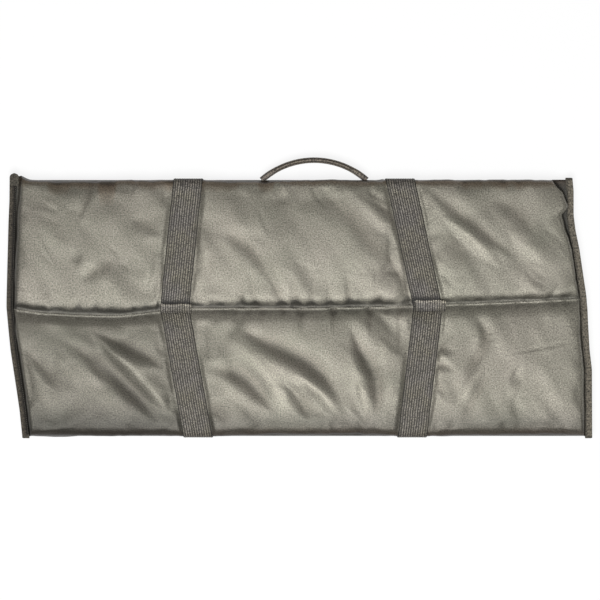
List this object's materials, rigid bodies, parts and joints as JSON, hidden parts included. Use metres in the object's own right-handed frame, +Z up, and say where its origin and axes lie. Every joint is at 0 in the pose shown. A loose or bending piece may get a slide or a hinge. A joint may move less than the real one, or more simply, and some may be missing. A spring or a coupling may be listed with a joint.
{
  "type": "weigh mat",
  "caption": "Padded fish weigh mat, folded flat, with flaps tucked under, webbing straps across, lift handles and a carry handle.",
  "frame": {"origin": "on the surface that the folded mat rests on, under the middle of its footprint with the carry handle", "axes": "+X along the mat's length, to the right in the picture; +Y towards the fold that carries the carry handle; +Z up, out of the face that the picture shows"},
  "size_m": [1.002, 0.4785, 0.044],
  "materials": {
    "olive_nylon": "satin",
    "lining_nylon": "satin",
    "binding_tape": "matte",
    "webbing": "matte",
    "foam": "matte"
  },
  "bodies": {
    "front_upper": {"upper_cover": "olive_nylon", "upper_foam": "foam", "upper_lining": "lining_nylon", "upper_left_binding": "binding_tape", "upper_right_binding": "binding_tape", "upper_left_strap": "webbing", "upper_right_strap": "webbing", "left_seam_bar": "webbing", "right_seam_bar": "webbing"},
    "front_lower": {"lower_cover": "olive_nylon", "lower_foam": "foam", "lower_lining": "lining_nylon", "lower_left_binding": "binding_tape", "lower_right_binding": "binding_tape", "lower_left_strap": "webbing", "lower_right_strap": "webbing"},
    "upper_flap": {"upper_flap_cover": "olive_nylon", "upper_flap_foam": "foam", "upper_flap_lining": "lining_nylon", "upper_flap_left_binding": "binding_tape", "upper_flap_right_binding": "binding_tape", "upper_flap_edge_binding": "binding_tape", "upper_flap_left_strap": "webbing", "upper_flap_right_strap": "webbing"},
    "lower_flap": {"lower_flap_cover": "olive_nylon", "lower_flap_foam": "foam", "lower_flap_lining": "lining_nylon", "lower_flap_left_binding": "binding_tape", "lower_flap_right_binding": "binding_tape", "lower_flap_edge_binding": "binding_tape", "lower_flap_left_strap": "webbing", "lower_flap_right_strap": "webbing"},
    "upper_lift": {"upper_lift_handle": "webbing"},
    "lower_lift": {"lower_lift_handle": "webbing"},
    "carry_base": {"carry_handle_left_tab": "webbing", "carry_handle_right_tab": "webbing"},
    "carry_grip": {"carry_handle_grip": "webbing"}
  },
  "joints": [
    {"name": "centre_fold", "type": "hinge", "parent": "front_upper", "child": "front_lower", "pos_m": [0, -0.0194, 0.022], "axis": [1, 0, 0], "range_deg": [0, 140]},
    {"name": "upper_flap_fold", "type": "hinge", "parent": "front_upper", "child": "upper_flap", "pos_m": [0, 0.2006, 0.022], "axis": [1, 0, 0], "range_deg": [0, 180]},
    {"name": "lower_flap_fold", "type": "hinge", "parent": "front_lower", "child": "lower_flap", "pos_m": [0, -0.2394, 0.022], "axis": [-1, 0, 0], "range_deg": [0, 180]},
    {"name": "upper_lift_handle_swing", "type": "hinge", "parent": "upper_flap", "child": "upper_lift", "pos_m": [0, 0.0475, 0.01495], "axis": [1, 0, 0], "range_deg": [0, 120]},
    {"name": "lower_lift_handle_swing", "type": "hinge", "parent": "lower_flap", "child": "lower_lift", "pos_m": [0, -0.0863, 0.01495], "axis": [-1, 0, 0], "range_deg": [0, 120]},
    {"name": "carry_handle_turn", "type": "hinge", "parent": "front_upper", "child": "carry_base", "pos_m": [0, 0.2006, 0.022], "axis": [1, 0, 0], "range_deg": [0, 90]},
    {"name": "carry_handle_swing", "type": "hinge", "parent": "carry_base", "child": "carry_grip", "pos_m": [0, 0.2246, 0.022], "axis": [1, 0, 0], "range_deg": [-90, 90]}
  ],
  "couplings": [
    {"joint": "carry_handle_turn", "follows": "upper_flap_fold", "ratio": 0.5}
  ]
}
